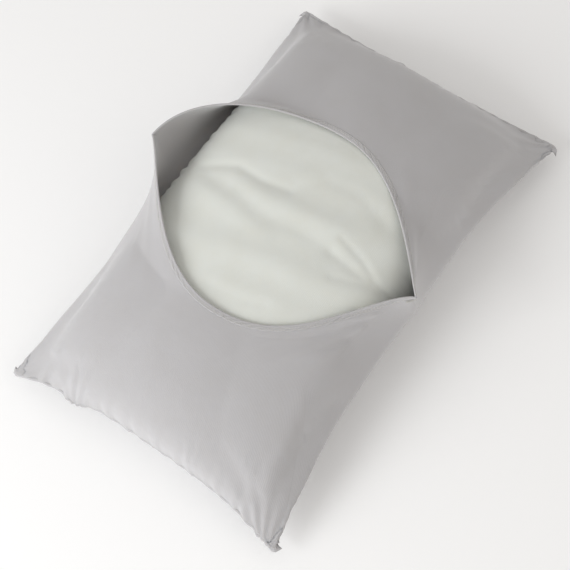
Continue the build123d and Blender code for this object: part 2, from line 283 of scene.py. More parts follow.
rng = np.random.default_rng(11)
shape = points_of(casing)
normals = points_of(casing, "normal")
flat = flat_places(casing)
from_long = casing_width / 2 - np.abs(flat[:, 1])
from_short = casing_length / 2 - np.abs(flat[:, 0])
bulge = np.zeros(len(shape))
for side in (-1, 1):
    long_pucker = wander(flat[:, 0], *pucker_lengths, rng)
    short_pucker = wander(flat[:, 1], *pucker_lengths, rng)
    for distance, pucker, here in (
        (from_long, long_pucker, flat[:, 1] * side > 0),
        (from_short, short_pucker, flat[:, 0] * side > 0),
    ):
        rise = (distance / pucker_reach) * np.exp(1 - distance / pucker_reach)
        bulge += here * pucker_depth * pucker * rise
inside = np.clip(np.minimum(from_long, from_short) / swell_fade, 0, 1)
uncovered = np.exp(-((np.clip(np.abs(shape[:, 0]) - bare_reach, 0, 1) / bare_fade) ** 2))
swell = wander(flat @ np.array([0.98, 0.2]), *long_swells, rng)
swell = swell + wander(flat @ np.array([0.3, 1.0]), *cross_swells, rng)
bulge += inside * uncovered * swell_height * swell
on_top = normals[:, 2] > 0
for line, depth, width in casing_creases:
    bulge -= on_top * crease_share * uncovered * crease(shape, line, depth, width)
shape += normals * bulge[:, None]
shape[:, 2] = np.maximum(shape[:, 2], resting_height)
set_points(casing, shape)


def finish(name, values):
    """A new material with values set on its shader."""
    made = bpy.data.materials.new(name)
    made.use_nodes = True
    shader = made.node_tree.nodes["Principled BSDF"]
    for socket, value in values.items():
        shader.inputs[socket].default_value = value
    return made, made.node_tree, shader


def cloth_material(name, colour, shade, roughness, sheen, glow, build):
    """A cloth finish whose colour mix and bump height come from the sockets build gives.

    The glow is the share of light that goes into the cloth and comes out again nearby."""
    values = {"Roughness": roughness, "Sheen Weight": sheen, "Sheen Roughness": 0.5}
    values |= {"Specular IOR Level": 0.25, "Subsurface Weight": glow}
    values |= {"Subsurface Radius": (1.0, 0.95, 0.88), "Subsurface Scale": 0.0015}
    made, tree, shader = finish(name, values)
    patch, height, depth = build(tree)
    colours = {"Factor": patch, 6: linear(colour), 7: linear(shade)}
    mix = add_node(tree, "ShaderNodeMix", colours, data_type="RGBA")
    relief = {"Height": height, "Distance": depth, "Strength": 1.0}
    bump = add_node(tree, "ShaderNodeBump", relief)
    tree.links.new(mix.outputs[2], shader.inputs["Base Color"])
    tree.links.new(bump.outputs["Normal"], shader.inputs["Normal"])
    return made


def flat_cut(tree):
    return add_node(tree, "ShaderNodeUVMap", uv_map="cut").outputs["UV"]


def bands(tree, place, direction, scale, values):
    """Bands side by side, as threads and ribs lie."""
    values = {"Vector": place, "Scale": scale, **values}
    return add_node(tree, "ShaderNodeTexWave", values, bands_direction=direction).outputs["Fac"]


def noise(tree, place, scale, detail, distortion=0.0):
    values = {"Vector": place, "Scale": scale, "Detail": detail, "Distortion": distortion}
    return add_node(tree, "ShaderNodeTexNoise", values).outputs["Fac"]


def band_scale(pitch):
    """The scale at which bands come one pitch apart."""
    return math.tau / 20 / pitch


def plain_weave_pattern(tree):
    """Warp and weft that cross at right angles, with slubs along the threads."""
    place = flat_cut(tree)
    uneven = {"Distortion": 1.2, "Detail": 2.0, "Detail Scale": 1.4}
    scale = band_scale(cotton_thread_pitch)
    warp, weft = (bands(tree, place, direction, scale, uneven) for direction in ("X", "Y"))
    crossed = add_node(tree, "ShaderNodeMath", {0: warp, 1: weft}, operation="MAXIMUM")
    return noise(tree, place, 22, 5.0), crossed.outputs[0], 0.00010


cotton = cloth_material(
    "plain_woven_cotton", cotton_colour, cotton_shade, 0.85, 0.15, 0.4, plain_weave_pattern
)
casing.data.materials.append(cotton)
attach(casing, "insert")
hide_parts("insert_top_casing", "insert_bottom_casing")


# ---- Insert edge seam ---------------------------------------------------------------
# The two casing panels are overlocked and turned, so the joined edges stand out as a
# narrow flat ridge all round, with a row of stitches showing along it.

edge_width = 0.0042
edge_thickness = 0.0020
edge_segments = 10
edge_seat = 0.32  # share of its width by which the ridge's middle stands out from the rim
edge_wave, edge_wave_lengths = 0.0004, (0.012, 0.026)
stitch_pitch = 0.0034
stitch_length = 0.0024
stitch_radius = 0.00033
cotton_thread_colour = "E2E0D6"


def tube(name, ring, around, along_uv, closed):
    """Rings of points joined into a tube, with its flat size round it and along it."""
    rings, sides = ring.shape[:2]
    faces = []
    flat = []
    for i in range(rings if closed else rings - 1):
        here, following = i * sides, (i + 1) % rings * sides
        for k in range(sides):
            beyond = (k + 1) % sides
            faces.append([here + k, following + k, following + beyond, here + beyond])
            near, far = around[k : k + 2]
            start, end = along_uv[i : i + 2]
            flat += [(near, start), (near, end), (far, end), (far, start)]
    if not closed:
        faces.append(list(range(sides)))
        faces.append([(rings - 1) * sides + k for k in reversed(range(sides))])
        flat += [(0, 0)] * (2 * sides)
    return mesh_object(name, ring.reshape(-1, 3), faces, flat)


def swept(name, path, aside, outward, section, along_uv, closed):
    """A tube along a path, whose section holds sideways and outward offsets."""
    section = np.broadcast_to(section, (len(path), *np.shape(section)[-2:]))
    ring = path[:, None] + section[..., :1] * aside[:, None]
    ring = ring + section[..., 1:] * outward[:, None]
    around = travel_along(section[len(path) // 2])
    around, along_uv = [*around, around[-1] + 0.001], [*along_uv, along_uv[-1] + 0.003]
    return tube(name, ring, around, along_uv, closed)


def unit(vectors):
    return vectors / np.maximum(np.linalg.norm(vectors, axis=-1, keepdims=True), 1e-9)


def travel_along(path):
    return np.concatenate([[0], np.cumsum(np.linalg.norm(np.diff(path, axis=0), axis=1))])


def ellipse(width, thickness, sides):
    turns = np.linspace(0, math.tau, sides, endpoint=False)
    return np.array([(width / 2 * math.cos(v), thickness / 2 * math.sin(v)) for v in turns])


rim = points_of(casing)[casing_rim]
rim_tangent = unit(np.roll(rim, -1, axis=0) - np.roll(rim, 1, axis=0))
rim_out = unit(np.cross(rim_tangent, (0, 0, 1)))
rim_out *= np.sign((rim_out * rim).sum(1, keepdims=True))
for _ in range(3):
    rim_out = unit(np.roll(rim_out, 1, axis=0) + rim_out + np.roll(rim_out, -1, axis=0))
rim_up = unit(np.cross(rim_out, rim_tangent))
rim_up *= np.sign(rim_up[:, 2:])
rng = np.random.default_rng(3)
rim_travel = travel_along(rim)
rim_wave = edge_wave * wander(rim_travel, *edge_wave_lengths, rng)
rim_line = rim + rim_out * edge_width * edge_seat + rim_up * rim_wave[:, None]
insert_edge = swept(
    "insert_edge_ridge",
    rim_line,
    rim_out,
    rim_up,
    ellipse(edge_width, edge_thickness, edge_segments),
    rim_travel,
    True,
)
insert_edge.data.materials.append(cotton)
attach(insert_edge, "insert")
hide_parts("insert_edge_seam")


def stitch_tree(name, material):
    """Geometry Nodes that lay one rounded stitch after another along each line."""
    tree = bpy.data.node_groups.new(name, "GeometryNodeTree")
    face = tree.interface
    face.new_socket("Lines", in_out="INPUT", socket_type="NodeSocketGeometry")
    for size in ("Pitch", "Stitch Length", "Thread Radius", "Slant"):
        face.new_socket(size, in_out="INPUT", socket_type="NodeSocketFloat")
    face.new_socket("Stitches", in_out="OUTPUT", socket_type="NodeSocketGeometry")
    given = add_node(tree, "NodeGroupInput").outputs
    curve = add_node(tree, "GeometryNodeMeshToCurve", {"Mesh": given["Lines"]})
    spacing = {"Curve": curve.outputs["Curve"], "Length": given["Pitch"]}
    spaced = add_node(tree, "GeometryNodeResampleCurve", spacing, mode="LENGTH")
    halving = {0: given["Stitch Length"], 1: 0.5}
    half = add_node(tree, "ShaderNodeMath", halving, operation="MULTIPLY")
    radius = given["Thread Radius"]
    stretch = {"X": half.outputs[0], "Y": radius, "Z": radius}
    scale = add_node(tree, "ShaderNodeCombineXYZ", stretch)
    ball = {"Segments": 6, "Rings": 5, "Radius": 1.0}
    bead = add_node(tree, "GeometryNodeMeshUVSphere", ball)
    tipped = {"Geometry": bead.outputs["Mesh"], "Rotation": (0, math.pi / 2, 0)}
    upright = add_node(tree, "GeometryNodeTransform", tipped)
    tangent = {"Vector": add_node(tree, "GeometryNodeInputTangent").outputs[0]}
    heading = add_node(tree, "FunctionNodeAlignRotationToVector", tangent, axis="X")
    turn = {"Axis": (0, 0, 1), "Angle": given["Slant"]}
    slant = add_node(tree, "FunctionNodeAxisAngleToRotation", turn)
    both = {"Rotation": heading.outputs[0], "Rotate By": slant.outputs[0]}
    turned = add_node(tree, "FunctionNodeRotateRotation", both, rotation_space="LOCAL")
    laying = {"Points": spaced.outputs[0], "Instance": upright.outputs[0]}
    laying |= {"Rotation": turned.outputs[0], "Scale": scale.outputs[0]}
    laid = add_node(tree, "GeometryNodeInstanceOnPoints", laying)
    real = add_node(tree, "GeometryNodeRealizeInstances", {"Geometry": laid.outputs[0]})
    dressing = {"Geometry": real.outputs[0], "Material": material}
    dressed = add_node(tree, "GeometryNodeSetMaterial", dressing)
    smooth = add_node(tree, "GeometryNodeSetShadeSmooth", {"Geometry": dressed.outputs[0]})
    add_node(tree, "NodeGroupOutput", {"Stitches": smooth.outputs[0]})
    return tree


def stitched(name, lines, tree, sizes):
    """Stitches along lines of points, as a plain mesh."""
    points = np.concatenate(lines)
    edges = []
    first = 0
    for line in lines:
        edges += [(first + i, first + i + 1) for i in range(len(line) - 1)]
        first += len(line)
    mesh = bpy.data.meshes.new(name)
    mesh.from_pydata(points.tolist(), edges, [])
    made = bpy.data.objects.new(name, mesh)
    bpy.context.scene.collection.objects.link(made)
    sewing = made.modifiers.new("sewing", "NODES")
    sewing.node_group = tree
    for item in tree.interface.items_tree:
        if item.in_out == "INPUT" and item.name in sizes:
            sewing[item.identifier] = sizes[item.name]
    apply_modifiers(made)
    return made


def twisted_thread(name, colour, roughness, sheen):
    """Spun sewing thread: a fine twist that catches the light in short slanting lines."""
    values = {"Base Color": linear(colour), "Roughness": roughness, "Sheen Weight": sheen}
    made, tree, shader = finish(name, values)
    place = add_node(tree, "ShaderNodeTexCoord").outputs["Object"]
    twist = bands(tree, place, "DIAGONAL", 900.0, {"Distortion": 1.0})
    relief = {"Height": twist, "Distance": 0.00008, "Strength": 0.8}
    bump = add_node(tree, "ShaderNodeBump", relief)
    tree.links.new(bump.outputs["Normal"], shader.inputs["Normal"])
    return made


cotton_thread = twisted_thread("spun_cotton_thread", cotton_thread_colour, 0.7, 0.2)
cotton_sewing = stitch_tree("cotton_sewing", cotton_thread)
thread_sizes = {"Pitch": stitch_pitch, "Stitch Length": stitch_length, "Thread Radius": stitch_radius}
ridge_top = rim_line + rim_up * (edge_thickness / 2)
insert_stitches = stitched(
    "insert_edge_stitches",
    [np.concatenate([ridge_top, ridge_top[:1]])],
    cotton_sewing,
    {**thread_sizes, "Slant": 0.0},
)
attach(insert_stitches, "insert")


# ---- Insert closing seam --------------------------------------------------------------
# The gap that the fibre went in through is sewn shut by machine, close to the edge, with
# a heavier thread than the seam's own.

closing_offset = (0, 0.0009, 0.00015)

low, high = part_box("insert_closing_thread")
on_left = ridge_top[(ridge_top[:, 1] > 0) & (ridge_top[:, 0] > low.x) & (ridge_top[:, 0] < high.x)]
on_left = on_left[np.argsort(on_left[:, 0])]
closing_line = on_left + closing_offset
closing = stitched(
    "insert_closing_stitches",
    [closing_line],
    cotton_sewing,
    {"Pitch": 0.0026, "Stitch Length": 0.0032, "Thread Radius": 0.00045, "Slant": 0.7},
)
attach(closing, "insert")
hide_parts("insert_closing_thread")


# ---- Insert label -------------------------------------------------------------------
# A blank satin tape, folded double and caught in the edge seam on the right side.

tape_colour = "F2F1EC"
tape_shade = "E6E4DD"
tape_thread_pitch = 0.0012
label_thickness = 0.0004
label_turn = 0.0006  # radius of its fold
label_part = 0.0009  # half the gap between its two ends at the seam
label_caught = 0.002  # how far its ends reach in past the rim


def satin_pattern(tree):
    """Long floats that lie side by side across the tape, and give it its soft lustre."""
    place = flat_cut(tree)
    floats = bands(tree, place, "Y", band_scale(tape_thread_pitch), {"Distortion": 0.4})
    return noise(tree, place, 60, 2.0), floats, 0.00005


def tape(name, line, across, width, thickness, material):
    """A strip of tape that follows a line, with its width along across."""
    line = np.asarray(line)
    across = np.asarray(across) / np.linalg.norm(across)
    count = 9
    shares = np.linspace(-0.5, 0.5, count)
    grid = line[:, None] + shares[None, :, None] * width * across
    quads = quads_of(np.arange(len(line) * count).reshape(len(line), count)).tolist()
    flat = np.stack(np.broadcast_arrays(travel_along(line)[:, None], shares[None] * width), -1)
    made = mesh_object(name, grid.reshape(-1, 3), quads, flat.reshape(-1, 2))
    wall = made.modifiers.new("tape_wall", "SOLIDIFY")
    wall.thickness = thickness
    wall.offset = 0
    apply_modifiers(made)
    made.data.materials.append(material)
    return made


satin = cloth_material("satin_woven_tape", tape_colour, tape_shade, 0.45, 0.1, 0.3, satin_pattern)
low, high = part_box("insert_care_label")
middle = (low + high) / 2
right_rim = rim_line[rim_line[:, 1] < 0]
seam_here = right_rim[np.argmin(np.abs(right_rim[:, 0] - middle.x))]
outer = low.y + label_thickness + label_turn
inner = seam_here[1] + label_caught
label_line = [(middle.x, inner, seam_here[2] + label_part)]
for v in np.linspace(math.pi / 2, -math.pi / 2, 7):
    bend = (outer - label_turn * math.cos(v), seam_here[2] + label_turn * math.sin(v))
    label_line.append((middle.x, *bend))
label_line.append((middle.x, inner, seam_here[2] - label_part))
insert_label = tape(
    "insert_label", label_line, (1, 0, 0), high.x - low.x, label_thickness, satin
)
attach(insert_label, "insert")
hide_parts("insert_care_label")


# ---- Fibre filling --------------------------------------------------------------------
# Loose siliconised polyester fibre fills the casing from edge to edge and keeps it round.

filling_inset = 0.0035
filling_plan_share = 0.985
filling_depth_share, filling_edge_gain, filling_edge_width = 0.9, 0.07, 0.02
filling_middle_drop = 0.016
fibre_colour = "F4F4F1"
fibre_shade = "E4E4DF"


def tangled_fibre(tree):
    """Crimped fibres in every direction, clumped where the filling was teased apart."""
    place = add_node(tree, "ShaderNodeTexCoord").outputs["Object"]
    return noise(tree, place, 30, 3.0), noise(tree, place, 260, 6.0, 3.0), 0.0012


middle_plane = seam_high.z - filling_middle_drop
filling_points = points_of(casing) - points_of(casing, "normal") * filling_inset
from_edge = np.clip(np.minimum(from_long, from_short) / filling_edge_width, 0, 1)
depth_share = filling_depth_share + filling_edge_gain * from_edge
filling_points[:, :2] *= filling_plan_share
filling_points[:, 2] = middle_plane + (filling_points[:, 2] - middle_plane) * depth_share
casing_quads = [list(face.vertices) for face in casing.data.polygons]
filling = mesh_object("fibre_filling", filling_points, casing_quads)
loose_fibre = cloth_material(
    "siliconised_polyester_fibre", fibre_colour, fibre_shade, 0.9, 0.4, 0.4, tangled_fibre
)
filling.data.materials.append(loose_fibre)
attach(filling, "insert")
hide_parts("insert_fibre_filling")


# ---- Cover ------------------------------------------------------------------------
# A tube of pale grey jersey knit, sewn shut across both short ends. Its mouth crosses the
# top and is held open, so that the knit is stretched up to a tip at each long side.

cover_columns = 84  # cells from an end seam to the mouth
cover_rows = 120  # cells from one long side to the other
knit_thickness = 0.0012
cover_gap = 0.0022  # from the casing to the knit's outer face
front_draw, front_fullness = 0.021, 3.2  # how far, and how evenly, the end seam is drawn in
rear_draw, rear_fullness = 0.015, 2.0
front_bump, rear_bump = (0.098, 0.0065, 0.017), (0.033, 0.003, 0.009)  # place, height, breadth
corner_radius = 0.011
fold_mid_height = 0.062
side_draw = 0.018
tip_edge_power = 1.6
mouth_reaches = {-1: 0.128, 1: 0.119}
mouth_middle = 0.005
mouth_sag = 0.003
settle_rounds, settle_step, clearing_turns = 160, 0.6, 16
corner_pin = 0.009  # how near a corner the knit stays where it starts
# How firmly the knit keeps to where it starts: everywhere, and more near the corners.
hold_all, hold_near, hold_wide = 0.03, (0.6, 0.022), (0.2, 0.07)
apex_share, apex_reach = 0.97, 0.05  # how much of that is let go round the mouth's ends
ground_gap = 0.0008
bridge_rounds, bridge_step = 40, 0.9
bridge_start, bridge_fade = 0.19, 0.04
gather_height, gather_lengths, gather_columns = 0.0010, (0.013, 0.028), 24
flank_side, flank_end, flank_top = 0.12, 0.25, 0.105
flank_roughest, roughest_elsewhere, level_rounds = 0.0007, 0.003, 8
push_out, push_side, push_fade = 0.0014, 0.13, 0.04
push_height, push_breadth = 0.05, 0.035
knit_colour = "C1C0C2"
knit_shade = "B8B6B6"
rib_pitch = 0.0022

seam_box_low, seam_box_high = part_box("rear_end_seam")
half_length = seam_box_high.x
half_width = seam_box_high.y
crown_height = 0.137
left_tip = np.array(sum(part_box("left_mouth_tack"), Vector()) / 2)
right_tip = np.array(sum(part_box("right_mouth_tack"), Vector()) / 2)
mouth_half_span = (left_tip[1] - right_tip[1]) / 2
corner_height = seam_box_low.z + 0.0015
seam_mid_height = seam_box_high.z - 0.0015
end_middle = half_length - rear_draw


def fold_side(x):
    return half_width - side_draw * (1 - np.minimum(np.abs(x) / half_length, 1) ** 3)


def fold_height(x):
    drop = fold_mid_height - corner_height
    return fold_mid_height - drop * np.minimum(np.abs(x) / half_length, 1) ** 2


def crown(x):
    top = seam_mid_height + 0.002
    share = np.minimum(np.abs(x) / (end_middle - 0.004), 1)
    return top + (crown_height - top) * np.sqrt(np.clip(1 - share**2.6, 0, 1))


def belly(x):
    share = np.minimum(np.abs(x) / end_middle, 1)
    return (seam_mid_height - 0.002) * share**7


def hem_curve(end, side, count=400):
    """One half of a hem, from its tip to the middle of the bow, as x, y and z."""
    t = side * np.sin(np.linspace(math.pi / 2, 0, count))
    if end < 0:
        power = np.where(t > 0, 1.17, 0.6 - 0.9 * t)
    else:
        blend = 1 / (1 + np.exp(-t / 0.15))
        power = 0.5 * blend + 1.12 * (1 - blend)
    x = end * mouth_reaches[end] * np.clip(1 - t**2, 0, 1) ** power
    y = mouth_middle + t * mouth_half_span
    part = (y - right_tip[1]) / (left_tip[1] - right_tip[1])
    z = right_tip[2] + part * (left_tip[2] - right_tip[2]) - mouth_sag * (1 - t**2)
    return np.stack([x, y, z], -1)


def evenly(curve, count):
    """The curve as count + 1 points, evenly spaced along it."""
    travel = travel_along(curve)
    places = np.linspace(0, travel[-1], count + 1)
    return np.stack([np.interp(places, travel, curve[:, i]) for i in range(3)], -1)


def bowed(start, end, bulge, part):
    """Points part of the way from start to end, on a curve that bulges by bulge."""
    run = end - start
    size = np.maximum(np.linalg.norm(run, axis=-1, keepdims=True), 1e-9)
    outward = np.stack([-run[..., 1], run[..., 0]], -1) / size
    part = part[..., None]
    return start + part * run + 4 * bulge[..., None] * part * (1 - part) * outward


ease = np.linspace(0, 1, cover_columns + 1)
ease = ease - 0.4 * np.sin(math.tau * ease) / math.tau
row_share = np.linspace(1, -1, cover_rows + 1)
half_rows = cover_rows // 2
round_start = 1 - corner_radius / half_width
rounding = np.clip((np.abs(row_share) - round_start) / (1 - round_start), 0, 1)
end_y = half_width * row_share


def seam_reach(draw, fullness, bump):
    """How far from mid-length an end seam runs, for each row."""
    place, height, breadth = bump
    bulge = height * np.exp(-(((end_y - place) / breadth) ** 2))
    corner = corner_radius * (1 - np.sqrt(1 - rounding**2))
    return half_length - draw * (1 - np.abs(row_share) ** fullness) - corner + bulge


end_x = {
    -1: seam_reach(front_draw, front_fullness, front_bump),
    1: seam_reach(rear_draw, rear_fullness, rear_bump),
}
end_z = corner_height + (seam_mid_height - corner_height) * (1 - row_share**2)


def upper_curve(x, end, side):
    """Where the cover's section at x runs: its fold, and the hem or the crown above it."""
    hem = hem_curve(end, side)
    travel = np.abs(hem[:, 0])
    away = np.abs(x)
    reach = mouth_reaches[end]
    open_here = away < reach
    hem_y = np.interp(away, travel, hem[:, 1])
    hem_z = np.interp(away, travel, hem[:, 2])
    fade = np.clip((half_length - away) / (half_length - reach), 0, 1)
    top_y = np.where(open_here, hem_y, mouth_middle * fade)
    top_z = np.where(open_here, hem_z, crown(x))
    fold = np.stack([side * fold_side(x), fold_height(x)], -1)
    top = np.stack([top_y, top_z], -1)
    rise = np.maximum(crown(x) - fold_height(x), 0.002)
    radius = (fold_side(x) ** 2 + rise**2) / (2 * rise)
    half_chord = np.hypot(fold_side(x), rise) / 2
    full = radius - np.sqrt(np.maximum(radius**2 - half_chord**2, 0))
    share = np.minimum(away / reach, 1) ** 2
    bulge = -side * (0.002 + (full - 0.002) * share)
    return fold, top, bulge


def edge_part(x):
    """How far up from the fold the line between the top and the underside runs."""
    return np.clip(1 - np.abs(x) / half_length, 0, 1) ** tip_edge_power


def top_patch(end):
    """The start of a top panel: columns from its end seam to its hem, rows from left to right."""
    grid = np.zeros((cover_columns + 1, cover_rows + 1, 3))
    for side, rows in ((1, slice(0, half_rows + 1)), (-1, slice(half_rows, None))):
        hem = evenly(hem_curve(end, side), half_rows)
        w = np.abs(row_share[rows])
        order = slice(None) if side > 0 else slice(None, None, -1)
        hem = hem[order]
        from_x = end * end_x[end][rows]
        x = from_x + ease[:, None] * (hem[:, 0] - from_x)
        dense = hem_curve(end, side)
        travel = travel_along(dense)
        dense_w = 1 - travel / travel[-1]
        hem_w = np.interp(np.abs(x), np.abs(dense[:, 0]), dense_w)
        hem_w = np.where(np.abs(x) >= mouth_reaches[end], 0, hem_w)
        part = np.clip((1 - w) / np.maximum(1 - hem_w, 1e-6), 0, 1)
        part[-1] = 1
        fold, top, bulge = upper_curve(x, end, side)
        low = edge_part(x)
        place = bowed(fold, top, bulge, low + (1 - low) * part)
        grid[:, rows] = np.concatenate([x[..., None], place], -1)
        grid[-1, rows] = hem
    grid[0] = np.stack([end * end_x[end], end_y, end_z], -1)
    return grid


def under_patch():
    """The start of the underside: columns from front to rear, rows from left to right."""
    columns = np.concatenate([-(1 - ease), (1 - ease)[::-1][1:]])
    x = columns[:, None] * np.where(columns[:, None] < 0, end_x[-1], end_x[1])
    grid = np.zeros((*x.shape, 3))
    for i in range(len(columns)):
        for side, rows in ((1, slice(0, half_rows + 1)), (-1, slice(half_rows, None))):
            here = x[i, rows].mean()
            at_edge = np.array([x[i, rows][0 if side > 0 else -1]])
            fold, top, bulge = upper_curve(at_edge, 1 if here > 0 else -1, side)
            climb = np.linspace(1, 0, 24) * edge_part(at_edge)
            wall = bowed(fold, top, bulge, climb[:, None])[:, 0]
            flat_side = 0.08 - 0.06 * min(abs(here) / end_middle, 1) ** 3
            low = np.array([[side * flat_side, belly(here)]])
            sag = 0.012 * (1 - min(abs(here) / end_middle, 1) ** 2)
            flank = bowed(fold, low, np.array([-side * sag]), np.linspace(0, 1, 40)[:, None])[:, 0]
            middle = np.array([[0, belly(here)]])
            line = np.concatenate([wall, flank[1:], middle])
            line = np.column_stack([np.zeros(len(line)), line])
            line = evenly(line, half_rows)[:, 1:]
            grid[i, rows, 1:] = line if side > 0 else line[::-1]
    grid[..., 0] = x
    for i, end in ((0, -1), (-1, 1)):
        grid[i] = np.stack([end * end_x[end], end_y, end_z], -1)
    return grid


front_grid, rear_grid, under_grid = top_patch(-1), top_patch(1), under_patch()
cover_points = [under_grid.reshape(-1, 3)]
under_ids = np.arange(under_grid[..., 0].size).reshape(under_grid.shape[:2])
count = under_ids.size
ids = {}
for name, grid, end in (("front", front_grid, -1), ("rear", rear_grid, 1)):
    own = np.full(grid.shape[:2], -1)
    columns = slice(0, cover_columns + 1)
    edge = under_ids[columns] if end < 0 else under_ids[::-1][columns]
    own[0] = edge[0]
    own[:, 0] = edge[:, 0]
    own[:, -1] = edge[:, -1]
    fresh = own < 0
    own[fresh] = count + np.arange(fresh.sum())
    count += fresh.sum()
    cover_points.append(grid[fresh])
    ids[name] = own
cover_start = np.concatenate(cover_points)
for row, tip in ((0, left_tip), (-1, right_tip)):
    cover_start[under_ids[cover_columns, row]] = tip


def cut_grid(along, around):
    """The flat place of each face corner of a grid."""
    return quads_of(np.stack(np.broadcast_arrays(along[:, None], around[None, :]), -1))


tube_half = 0.20  # half the flat width of the tube, before it is stretched over the insert
tube_length = 0.60
out_along = tube_length / 2 * (1 - ease)
whole_along = np.concatenate([-out_along, out_along[::-1][1:]])
over = tube_half * row_share
under_around = tube_half * (2 - row_share)
cover_faces = np.concatenate(
    [quads_of(under_ids), quads_of(ids["front"])[:, ::-1], quads_of(ids["rear"])]
)
cover_flat = np.concatenate(
    [
        cut_grid(whole_along, under_around),
        cut_grid(-out_along, over)[:, ::-1],
        cut_grid(out_along, over),
    ]
).reshape(-1, 2)


def neighbours(faces):
    """Pairs of points that share an edge, and how many each point has."""
    pairs = np.concatenate([faces[:, [k, (k + 1) % 4]] for k in range(4)])
    pairs = np.unique(np.sort(pairs, 1), axis=0)
    pairs = np.concatenate([pairs, pairs[:, ::-1]])
    return pairs, np.bincount(pairs[:, 0])


def averages(points, pairs, shares):
    sums = [np.bincount(pairs[:, 0], points[pairs[:, 1], i], len(points)) for i in range(3)]
    return np.stack(sums, -1) / shares[:, None]


def clear_of(points, tree, gap, reach=0.03):
    """The points, moved out until each is at least gap outside the mesh of the tree."""
    moved = points.copy()
    for i, point in enumerate(points):
        place, normal, _, distance = tree.find_nearest(Vector(point), reach)
        if place is None:
            continue
        away = Vector(point) - place
        beside = abs(point[0]) > casing_reach[0] or abs(point[1]) > casing_reach[1]
        if beside and distance > 1e-6:
            normal = away / distance
        signed = distance if beside or away.dot(normal) > 0 else -distance
        if signed < gap:
            moved[i] = point + np.array(normal) * (gap - signed)
    return moved


casing_reach = np.abs(points_of(casing)).max(0) - 0.001
casing_tree = BVHTree.FromPolygons(points_of(casing).tolist(), casing_quads)
pairs, shares = neighbours(cover_faces)
pinned = np.zeros(len(cover_start), dtype=bool)
for name in ("front", "rear"):
    pinned[ids[name][0]] = True
    pinned[ids[name][-1]] = True
corner_gap = np.hypot(
    half_length - np.abs(cover_start[:, 0]), half_width - np.abs(cover_start[:, 1])
)
pinned |= corner_gap < corner_pin
hold = np.full(len(cover_start), hold_all)
for firmness, breadth in (hold_near, hold_wide):
    hold += firmness * np.exp(-((corner_gap / breadth) ** 2))
for end, reach in mouth_reaches.items():
    apex_gap = np.hypot(cover_start[:, 0] - end * reach, cover_start[:, 1] - mouth_middle)
    hold *= 1 - apex_share * np.exp(-((apex_gap / apex_reach) ** 2))
settled = cover_start.copy()
for turn in range(settle_rounds):
    pulled = averages(settled, pairs, shares)
    step = settle_step * (pulled - settled) + hold[:, None] * (cover_start - settled)
    step[pinned] = 0
    settled += step
    settled[:, 2] = np.maximum(settled[:, 2], ground_gap)
    if turn % clearing_turns == clearing_turns - 1 or turn == settle_rounds - 1:
        cleared = clear_of(settled, casing_tree, cover_gap)
        settled[~pinned] = cleared[~pinned]
        settled[:, 2] = np.maximum(settled[:, 2], ground_gap)


def knit_normals(points):
    """The normal at each point of the knit, from a mesh that is removed again."""
    bare = mesh_object("bare_knit", points, cover_faces.tolist())
    facing = points_of(bare, "normal")
    bpy.data.objects.remove(bare)
    return facing


# Knit bridges the hollow beside the casing's edge, so it is let out there and never drawn in.
bridging = np.clip((np.abs(settled[:, 0]) - bridge_start) / bridge_fade, 0, 1)
for turn in range(bridge_rounds):
    facing = knit_normals(settled)
    outwards = ((averages(settled, pairs, shares) - settled) * facing).sum(1)
    out = bridge_step * bridging * np.maximum(outwards, 0) * ~pinned
    settled += facing * out[:, None]


# The pull at the tips and corners gathers the knit into folds, which fade along the cloth.
def folds_from(points, source, headings, height, onset, decay):
    """Height of the ridges of a fan that opens from a point along headings given in plan."""
    away = points[:, :2] - source[:2]
    distance = np.linalg.norm(away, axis=1)
    turned = np.degrees(np.arctan2(away[:, 1], away[:, 0]))
    middle = sum(heading for heading, _ in headings) / len(headings)
    turned = (turned - middle + 180) % 360 - 180
    ridges = sorted((heading - middle, share) for heading, share in headings)
    places = [1.5 * ridges[0][0] - 0.5 * ridges[1][0]]
    sizes = [0]
    ridges.append((2 * ridges[-1][0] - ridges[-2][0], 0))
    for (here, share), (beyond, _) in zip(ridges, ridges[1:]):
        places += [here, (here + beyond) / 2]
        sizes += [share, 0]
    rise = np.interp(turned, places, sizes)
    rise = 0.5 - 0.5 * np.cos(math.pi * rise)
    fading = np.exp(-((distance / decay) ** 1.5)) * (1 - np.exp(-((distance / onset) ** 2)))
    return height * rise * fading


rng = np.random.default_rng(5)
cover = mesh_object("cover_knit", settled, cover_faces.tolist(), cover_flat)
normals = points_of(cover, "normal")
lift = np.zeros(len(settled))
on_top = np.zeros(len(settled), dtype=bool)
for name, end in (("front", -1), ("rear", 1)):
    on_top[ids[name][:, 1:-1]] = True
    seam = np.stack([end * end_x[end], end_y, end_z], -1)
    travel = travel_along(seam)
    columns = under_ids if end < 0 else under_ids[::-1]
    for grid in (ids[name][:gather_columns], columns[:gather_columns]):
        here = settled[grid]
        out = np.linalg.norm(here - here[0], axis=-1)
        pucker = wander(travel, *gather_lengths, rng)
        fade = np.exp(-out / 0.016) * (0.35 + 0.65 * (1 - np.exp(-out / 0.004)))
        lift[grid] = gather_height * pucker * fade
